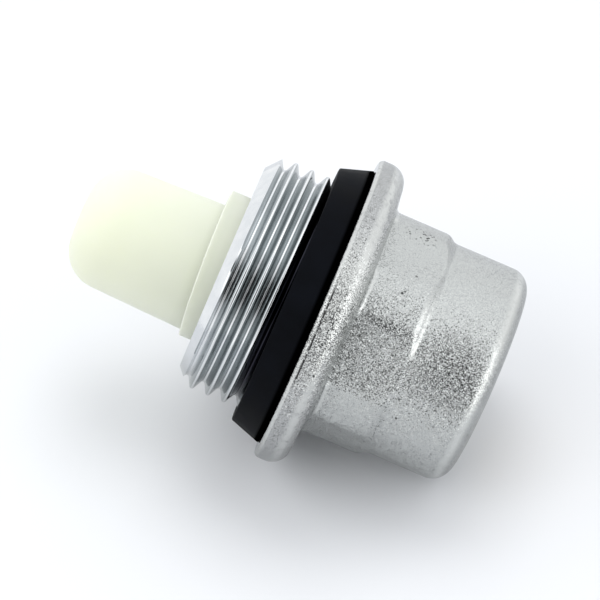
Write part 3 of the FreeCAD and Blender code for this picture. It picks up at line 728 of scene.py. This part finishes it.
def turned_brass():
    """Turned brass with lathe rings and a light tarnish."""
    s = Shader("turned_brass")
    s.set(metallic=1.0)
    rings = s.noise(9.0, 3.0, 0.6, s.round_the_axis())
    tarnish = s.noise(0.6, 3.0)
    tone = s.mix(s.ramp(tarnish, 0.4, 0.7), (0.83, 0.62, 0.28), (0.55, 0.38, 0.17))
    s.link(tone, "Base Color")
    s.link(s.ramp(tarnish, 0.3, 0.7, 0.2, 0.38), "Roughness")
    s.link(s.bump(rings, 0.015, 0.6), "Normal")
    return s.material


def moulded_black():
    """Moulded acetal, satin with faint flow."""
    s = Shader("moulded_black")
    flow = s.noise(0.5, 3.0)
    s.link(s.mix(flow, (0.03, 0.03, 0.032), (0.06, 0.06, 0.065)), "Base Color")
    s.link(s.ramp(flow, 0.3, 0.7, 0.3, 0.42), "Roughness")
    s.link(s.bump(s.noise(4.0, 2.0), 0.01, 0.4), "Normal")
    return s.material


def pressed_fibre():
    """Pressed cellulose with short fibres."""
    s = Shader("pressed_fibre")
    fibres = s.noise(3.5, 4.0, 0.7)
    s.link(s.mix(fibres, (0.62, 0.54, 0.38), (0.86, 0.80, 0.66)), "Base Color")
    s.set(roughness=0.9)
    s.link(s.bump(fibres, 0.05, 0.8), "Normal")
    return s.material


def pale_floor():
    """Plain pale studio floor, with painted shade where the metal mirrors it."""
    s = Shader("pale_floor")
    shade = s.noise(0.004, 2.0)
    tone = s.mix(shade, (0.79, 0.80, 0.825), (0.81, 0.82, 0.84))
    # painted shade: the floor is darker only as the metal mirrors it
    mirrored = s.nodes.new("ShaderNodeLightPath").outputs["Is Glossy Ray"]
    s.link(s.mix(mirrored, tone, (0.62, 0.63, 0.65)), "Base Color")
    s.set(roughness=0.55)
    return s.material


# ---------------------------------------------------------------- stage

FLOOR_LEAN = math.radians(16.9)     # the cap's end lies lower than the thread
FLOOR_TURN = math.radians(7.8)      # and the vent is turned this much about its axis
FLOOR_HALF = 0.095
FLOOR_GAP = 0.05                    # in millimetres
VIEW_ELEVATION = math.radians(40)
VIEW_TURN = math.radians(1.2)       # the threaded end is this much nearer
VIEW_ROLL = math.radians(23.3)      # the axis falls this much to the right
VIEW_DISTANCE = 0.43
VIEW_WIDTH = 0.0803                 # width of the frame at the object
VIEW_TARGET = Vector((0.0021, 0, 0))
SENSOR = 36.0
SURROUNDINGS = 1.02                 # strength of the white surroundings
BACKDROP = 0.97                     # and where the camera sees them
DARK_ELEVATION = math.radians(29)   # middle of their dark patch
DARK = (0, -math.cos(DARK_ELEVATION), math.sin(DARK_ELEVATION))
# middle direction, cosine of the angle at its rim, cosine where it is full, strength there
PATCHES = (
    (DARK, 0.66, 0.97, 0.47),
    (DARK, 0.89, 0.975, 0.02),
    ((0.77, -0.49, 0.41), 0.82, 0.97, 1.65),
    ((-0.87, -0.38, 0.31), 0.85, 0.97, 1.45),
    ((0, -0.05, 0.999), 0.86, 0.97, 1.25),
)


def floor_up():
    """The floor's normal. The vent lies on its flange's rim and its cap's edge, so the floor leans."""
    lean = math.sin(FLOOR_LEAN)
    flat = math.cos(FLOOR_LEAN)
    return Vector((-lean, -flat * math.sin(FLOOR_TURN), flat * math.cos(FLOOR_TURN)))


def floor():
    """A pale floor that the flange's rim and the cap's edge touch."""
    up = floor_up()
    bm = bmesh.new()
    bmesh.ops.create_grid(bm, x_segments=8, y_segments=8, size=FLOOR_HALF)
    mesh = bpy.data.meshes.new("floor")
    bm.to_mesh(mesh)
    bm.free()
    piece = bpy.data.objects.new("floor", mesh)
    reach = (FLANGE_TOP_X - FLANGE_ROUND) * math.sin(FLOOR_LEAN)
    reach += (FLANGE_R - FLANGE_ROUND) * math.cos(FLOOR_LEAN) + FLANGE_ROUND + FLOOR_GAP
    piece.location = up * (-reach * MM)
    piece.rotation_mode = "QUATERNION"
    piece.rotation_quaternion = up.to_track_quat("Z", "Y")
    bpy.context.scene.collection.objects.link(piece)
    mesh.materials.append(pale_floor())


def view_back():
    """Unit vector from the object to the camera."""
    flat = math.cos(VIEW_TURN)
    return Vector((
        -math.sin(VIEW_TURN), -flat * math.cos(VIEW_ELEVATION), flat * math.sin(VIEW_ELEVATION)))


def camera():
    """The camera, above and in front, rolled so that the axis falls to the right."""
    back = view_back()
    along = (Vector((1, 0, 0)) - back * back.x).normalized()
    across = back.cross(along)
    right = along * math.cos(VIEW_ROLL) + across * math.sin(VIEW_ROLL)
    up = across * math.cos(VIEW_ROLL) - along * math.sin(VIEW_ROLL)
    data = bpy.data.cameras.new("camera")
    data.sensor_width = SENSOR
    data.lens = SENSOR * VIEW_DISTANCE / VIEW_WIDTH
    data.clip_start = 0.01
    piece = bpy.data.objects.new("camera", data)
    turn = Matrix((right, up, back)).transposed().to_4x4()
    piece.matrix_world = Matrix.Translation(VIEW_TARGET + back * VIEW_DISTANCE) @ turn
    bpy.context.scene.collection.objects.link(piece)
    bpy.context.scene.camera = piece


def softbox(name, towards, distance, size, power):
    """A square area light facing the object from a direction, absent from reflections."""
    direction = Vector(towards).normalized()
    data = bpy.data.lights.new(name, "AREA")
    data.shape = "SQUARE"
    data.size = size
    data.energy = power
    piece = bpy.data.objects.new(name, data)
    piece.location = direction * distance
    piece.rotation_mode = "QUATERNION"
    piece.rotation_quaternion = direction.to_track_quat("Z", "Y")
    piece.visible_glossy = False
    bpy.context.scene.collection.objects.link(piece)


def studio():
    """White surroundings, dark towards the camera and brighter to both sides and overhead."""
    world = bpy.data.worlds.new("studio")
    bpy.context.scene.world = world
    world.use_nodes = True
    nodes = world.node_tree.nodes
    links = world.node_tree.links
    place = nodes.new("ShaderNodeTexCoord").outputs["Generated"]
    light = None
    for direction, rim, full, strength in PATCHES:
        toward = nodes.new("ShaderNodeVectorMath")
        toward.operation = "DOT_PRODUCT"
        toward.inputs[1].default_value = direction
        links.new(place, toward.inputs[0])
        patch = nodes.new("ShaderNodeMapRange")
        patch.interpolation_type = "SMOOTHSTEP"
        links.new(toward.outputs["Value"], patch.inputs["Value"])
        for name, number in zip(RAMP_SOCKETS, (rim, full, 1.0, strength)):
            patch.inputs[name].default_value = number
        both = nodes.new("ShaderNodeMath")
        both.operation = "MULTIPLY"
        links.new(patch.outputs["Result"], both.inputs[0])
        if light is None:
            both.inputs[1].default_value = SURROUNDINGS
        else:
            links.new(light, both.inputs[1])
        light = both.outputs[0]
    seen = nodes.new("ShaderNodeLightPath").outputs["Is Camera Ray"]
    strength = nodes.new("ShaderNodeMix")
    strength.data_type = "FLOAT"
    links.new(seen, strength.inputs["Factor"])
    links.new(light, strength.inputs[2])
    strength.inputs[3].default_value = BACKDROP
    background = nodes["Background"]
    background.inputs["Color"].default_value = (0.97, 0.985, 1.0, 1.0)
    links.new(strength.outputs[0], background.inputs["Strength"])
    softbox("fill", (-0.5, -0.75, 0.55), 0.5, 0.35, 0.55)
    softbox("key", (-0.3, 0.15, 1.0), 0.5, 0.25, 0.6)


# ---------------------------------------------------------------- build

cast = cast_zinc()
machined = machined_zinc()
plastic = milky_plastic()
steel = sheet_steel()
brass = turned_brass()
seal = black_rubber("seal_rubber", (0.018, 0.018, 0.019))
carrier = moulded_black()
fibre = pressed_fibre()

BY_SLOT = {
    "body": machined, "gasket": seal, "carrier": carrier, "steel": steel,
    "float": plastic, "brass": brass, "seal": seal, "fibre": fibre,
}
for part in frame["record"]["subparts"]:
    mesh = frame["nodes"][part["node"]].data
    mesh.materials.clear()
    mesh.materials.append(BY_SLOT[part["material_slot"]])

vent_body(cast, machined)
gasket(black_rubber("gasket_rubber", (0.0018, 0.0022, 0.0034)))
float_cup(plastic)
float_base(plastic)

floor()
camera()
studio()
bpy.context.scene.view_settings.view_transform = "Standard"
